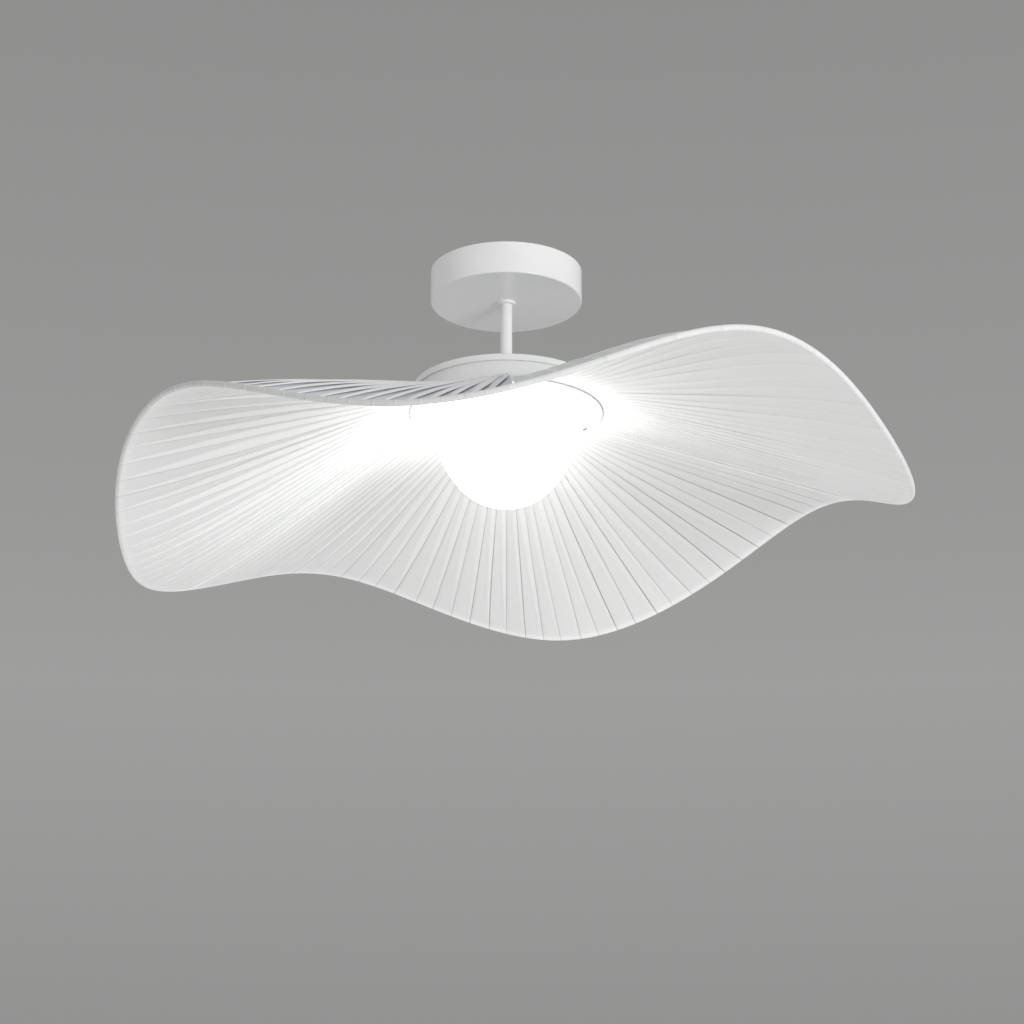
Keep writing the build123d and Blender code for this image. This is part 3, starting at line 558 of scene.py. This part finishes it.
def seam_strays(rng, count):
    # Each seam strays from its even place by a smooth curve: terms at the hub, the rim and between
    terms = rng.normal(0, 1, (count, 3)) * SEAM_STRAYS
    terms[[0, -1]] = 0
    at_hub, at_rim, between = terms[:, :, None].transpose(1, 0, 2)
    return at_hub * (1 - ENDS) + at_rim * ENDS + between * 4 * ENDS * (1 - ENDS)


def wire_frame(azimuth):
    # The wire's centre with the directions out along the fabric and up from it
    centre = shade_point(azimuth, 1.0)
    ahead = shade_point(azimuth + SMALL_TURN, 1.0) - shade_point(azimuth - SMALL_TURN, 1.0)
    up = shade_normal(azimuth, 1.0)
    out = np.cross(ahead, up)
    return centre, out / np.linalg.norm(out), up


def column_points(azimuth, height):
    # One line of the sheet from the hub to the rim and on round the wire
    normal = shade_normal(azimuth, np.maximum(STATIONS, FIRST_SLOPE))
    line = shade_point(azimuth, STATIONS) + normal * height[:, None]
    centre, out, up = wire_frame(azimuth[-1])
    round_wire = np.outer(np.cos(WRAP_TURNS), out) + np.outer(np.sin(WRAP_TURNS), up)
    return np.concatenate([line, centre - height[-1] * round_wire])


def column_lay(index, overlap, lay):
    # Share of double cloth along one line
    rim_lay = RIM_LAY if LIP_COLUMNS <= index <= KNEE_COLUMN else 1.0
    on_strip = np.where(overlap > CLOSED_OVERLAP, lay, rim_lay)
    return np.concatenate([on_strip, np.full(len(WRAP_TURNS), rim_lay)])


def column_tone_and_painted_light(index, azimuth, lay, base):
    # Tone along one line, whose outer end is at the azimuth: painted light and shade on the low lobe's
    # single and double cloth, a painted highlight on the rim's edge, and painted shade on the hem past
    # the lip columns
    shade = base * (1 + LOBE_PAINTED_LIGHT * turned_to(azimuth, *LOBE_LIGHT_REACH) * (lay - 0.5))
    edge = len(STATIONS) - EDGE_STATIONS
    shade[edge:] *= 1 + EDGE_PAINTED_HIGHLIGHT * turned_to(azimuth, *EDGE_HIGHLIGHT_REACH)
    if index >= LIP_COLUMNS:
        shade[len(STATIONS) :] *= 1 - HEM_PAINTED_SHADE * turned_to(azimuth, *HEM_SHADE_REACH)
    return shade


def build_panel(name, rng):
    first, last, pleats = PANELS[name]
    look = PANEL_LOOKS[name]
    start = SEAM_AZIMUTHS[first]
    span = (SEAM_AZIMUTHS[last] - start) % 360
    pitch = span / pleats
    seams = start + pitch * (np.arange(pleats + 1)[:, None] + seam_strays(rng, pleats + 1))
    strip_tone = 1 + rng.normal(0, TONE_SPREAD, pleats)
    depth = np.exp(rng.normal(0, DEPTH_SPREAD, pleats))
    spread = 1 + rng.normal(0, OVERLAP_SPREAD, pleats)

    arc = math.radians(pitch) * (SLOPE_START + (rim_radius(start) - SLOPE_START) * ENDS)
    to_rim = 1 - ENDS
    widest = np.minimum(LARGEST_OVERLAP * (1 - ENDS ** look["leaf"]), LARGEST_OVERLAP)
    inside = smooth_step((OUTER_START - ENDS) / OUTER_REACH)
    outwards = look["outer"] + (1 - look["outer"]) * inside
    from_hub = HUB_GAP + (1 - HUB_GAP) * smooth_step(ENDS / HUB_GAP_REACH)
    from_rim = RIM_GAP + (1 - RIM_GAP) * smooth_step(to_rim / RIM_GAP_REACH)
    hanging = smooth_step(ENDS / HANG_OPENS) * smooth_step(to_rim / HANG_CLOSES)
    hang = look["hang"] * MM * hanging * outwards
    sink = HUB_SINK * smooth_step(1 - ENDS / HUB_SINK_REACH)
    under_wire = -(HEM_RADIUS - SHEET_THICKNESS / 2) * ENDS
    sleeve_drop = SLEEVE_DROPS[name] * smooth_step(to_rim / SLEEVE_CLOSES)
    on_wrap = HUB_TO_RIM_CLOTH + HEM_RADIUS * (WRAP_TURNS + math.pi / 2)
    cloth_along = np.concatenate([STATIONS * HUB_TO_RIM_CLOTH, on_wrap])

    points, cloth, folds, lays, tones = [], [], [], [], []
    run = 0.0
    for pleat in range(pleats):
        left, right = seams[pleat], seams[pleat + 1]
        gap = look["gap"] * MM * depth[pleat] * from_hub * from_rim * outwards
        overlap = np.minimum(widest * spread[pleat], LARGEST_OVERLAP)
        columns = strip_columns(look, overlap, gap, hang)
        if pleat == pleats - 1:
            one = np.ones_like(gap)
            columns = columns[:KNEE_COLUMN] + [(one, LAST_SEAM_HEIGHT * one, 0, 1, 1)]
        if pleat == 0:
            columns = sleeve_columns(columns, arc, sleeve_drop)
        for index, (u, height, fold, lay, tone_and_painted_light) in enumerate(columns):
            azimuth = left + (right - left) * u
            place = column_points(azimuth, height - sink * gap + under_wire)
            if points:
                run += float(np.linalg.norm(place - points[-1], axis=1).mean())
            points.append(place)
            count = len(place)
            cloth.append(np.stack([cloth_along, np.full(count, run), np.zeros(count)], axis=-1))
            folds.append(np.full(count, fold))
            lays.append(column_lay(index, overlap, lay))
            # Each strip's own tone times its columns' tone, the groove's painted shade and the
            # sleeve's painted highlight, stronger on deeper pleats
            base = strip_tone[pleat] * tone_and_painted_light ** depth[pleat]
            tones.append(column_tone_and_painted_light(index, azimuth[-1], lays[-1], base))

    vertices = np.concatenate(points)
    faces = grid_faces(len(points), len(points[0]))
    piece = finish_mesh(f"fabric_{name}", vertices.tolist(), faces, "fixture")
    store(piece.data, "cloth", "FLOAT_VECTOR", np.concatenate(cloth))
    store(piece.data, "fold", "FLOAT", np.concatenate(folds))
    store(piece.data, "lay", "FLOAT", np.concatenate(lays))
    store(piece.data, "tone_and_painted_light", "FLOAT", np.concatenate(tones))
    # The sheet's two sides: material 0 above, material 1 below and round the wire
    piece.data.materials.append(FABRIC_TOP_PAINTED_LIGHT)
    piece.data.materials.append(FABRIC_UNDER)
    thickness = piece.modifiers.new("thickness", "SOLIDIFY")
    thickness.thickness = SHEET_THICKNESS
    thickness.offset = 0.0
    thickness.material_offset = 1
    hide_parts(f"shade_panel_{name}")
    azimuths = np.linspace(start, start + span, RIM_LENGTH_STEPS)
    rim = shade_point(azimuths, np.ones_like(azimuths))
    rim_length = float(np.linalg.norm(np.diff(rim, axis=0), axis=1).sum())
    return piece, rim_length


def build_hem():
    # Binding round the wire, inside the wrapped fabric
    azimuths = np.arange(HEM_STEPS) * 360 / HEM_STEPS
    vertices, cloth = [], []
    for azimuth in azimuths:
        centre, out, up = wire_frame(azimuth)
        for side in range(HEM_SIDES):
            angle = 2 * math.pi * side / HEM_SIDES
            outwards = out * math.cos(angle) + up * math.sin(angle)
            vertices.append(centre + outwards * BINDING_RADIUS)
            cloth.append((azimuth * RIM_CLOTH_PER_DEGREE, angle * BINDING_RADIUS, 0.0))
    faces = grid_faces(HEM_STEPS, HEM_SIDES, closed_rows=True, closed_columns=True)
    piece = finish_mesh("fabric_hem", [tuple(v) for v in vertices], faces, "fixture")
    store(piece.data, "cloth", "FLOAT_VECTOR", cloth)
    for name in ("fold", "lay", "tone_and_painted_light"):
        store(piece.data, name, "FLOAT", np.ones(len(vertices)))
    piece.data.materials.append(FABRIC_UNDER)
    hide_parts("rim_binding")
    return piece


random = np.random.default_rng(SEED)
hem = build_hem()
for panel_name in PANELS:
    panel, length = build_panel(panel_name, random)


# Stage: pale floor, lamps, world light and camera
FLOOR_RADIUS = 6.0
FLOOR_HEIGHT = -2.4
FLOOR_SIDES = 96
# Lamps aimed at the middle of the light: place, width and height in metres, watts
MIDDLE = (0.0, 0.0, -0.2)
LAMPS = {
    "key": ((2.1, -2.5, -0.60), 1.2, 1.0, 53),
    "fill": ((-2.2, -2.4, -1.3), 2.0, 1.6, 3),
    "back": ((-1.6, 1.6, -1.8), 1.2, 1.2, 12),
    "below": ((0.0, 0.0, -2.1), 1.2, 1.2, 7.5),
}
WORLD_LIGHT = 0.62
# Upward share of the viewing direction and the grey seen there, a little green as in the photograph;
# the brightest grey, just under the shade, is painted glow of the lamp on the backdrop
BACKGROUND = ((0.156, 0.292), (0.27, 0.345), (0.33, 0.318), (0.50, 0.274))
BACKGROUND_TINT = (1.0, 1.005, 0.99)


def build_floor():
    turns = [2 * math.pi * side / FLOOR_SIDES for side in range(FLOOR_SIDES)]
    ring = [
        (FLOOR_RADIUS * math.cos(turn), FLOOR_RADIUS * math.sin(turn), FLOOR_HEIGHT) for turn in turns
    ]
    mesh = bpy.data.meshes.new("floor")
    mesh.from_pydata(ring, [], [tuple(range(FLOOR_SIDES))])
    mesh.materials.append(
        surface("floor_paint", (0.74, 0.74, 0.73), (0.77, 0.77, 0.76), 0.9, patch=1.0)
    )
    piece = bpy.data.objects.new("floor", mesh)
    bpy.context.scene.collection.objects.link(piece)


def add_lamp(name, place, width, height, power):
    data = bpy.data.lights.new(name, "AREA")
    data.shape = "RECTANGLE"
    data.size = width
    data.size_y = height
    data.energy = power
    lamp = bpy.data.objects.new(name, data)
    lamp.location = place
    lamp.rotation_euler = (Vector(MIDDLE) - Vector(place)).to_track_quat("-Z", "Y").to_euler()
    lamp.visible_camera = False
    bpy.context.scene.collection.objects.link(lamp)


def build_world():
    # An even white light on the object; the camera, and metal and glass, see the grey background
    world = bpy.data.worlds.new("studio")
    bpy.context.scene.world = world
    world.use_nodes = True
    nodes, links = world.node_tree.nodes, world.node_tree.links
    nodes.clear()
    path = nodes.new("ShaderNodeLightPath").outputs
    seen = combined(nodes, links, "MAXIMUM", path["Is Camera Ray"], path["Is Glossy Ray"])
    seen = combined(nodes, links, "MAXIMUM", seen, path["Is Transmission Ray"])
    lit = nodes.new("ShaderNodeBackground")
    lit.inputs["Color"].default_value = (1.0, 1.0, 1.0, 1.0)
    lit.inputs["Strength"].default_value = WORLD_LIGHT
    towards = nodes.new("ShaderNodeSeparateXYZ")
    links.new(nodes.new("ShaderNodeTexCoord").outputs["Generated"], towards.inputs["Vector"])
    greys = nodes.new("ShaderNodeValToRGB")
    stops = greys.color_ramp.elements
    for index, (height, grey) in enumerate(BACKGROUND):
        stop = stops[index] if index < 2 else stops.new(height)
        stop.position = height
        stop.color = (*(grey * part for part in BACKGROUND_TINT), 1.0)
    links.new(towards.outputs["Z"], greys.inputs["Fac"])
    shown = nodes.new("ShaderNodeBackground")
    links.new(greys.outputs["Color"], shown.inputs["Color"])
    choice = nodes.new("ShaderNodeMixShader")
    links.new(seen, choice.inputs["Fac"])
    links.new(lit.outputs["Background"], choice.inputs[1])
    links.new(shown.outputs["Background"], choice.inputs[2])
    result = nodes.new("ShaderNodeOutputWorld")
    links.new(choice.outputs["Shader"], result.inputs["Surface"])


build_floor()
for lamp_name, lamp_values in LAMPS.items():
    add_lamp(lamp_name, *lamp_values)
build_world()

camera_data = bpy.data.cameras.new("camera")
camera_data.sensor_width = CAMERA_SENSOR
camera_data.lens = CAMERA_LENS
camera = bpy.data.objects.new("camera", camera_data)
camera.location = CAMERA_PLACE
camera.rotation_euler = (math.radians(90 + CAMERA_PITCH), 0, 0)
bpy.context.scene.collection.objects.link(camera)
bpy.context.scene.camera = camera

bpy.context.scene.view_settings.view_transform = "Standard"
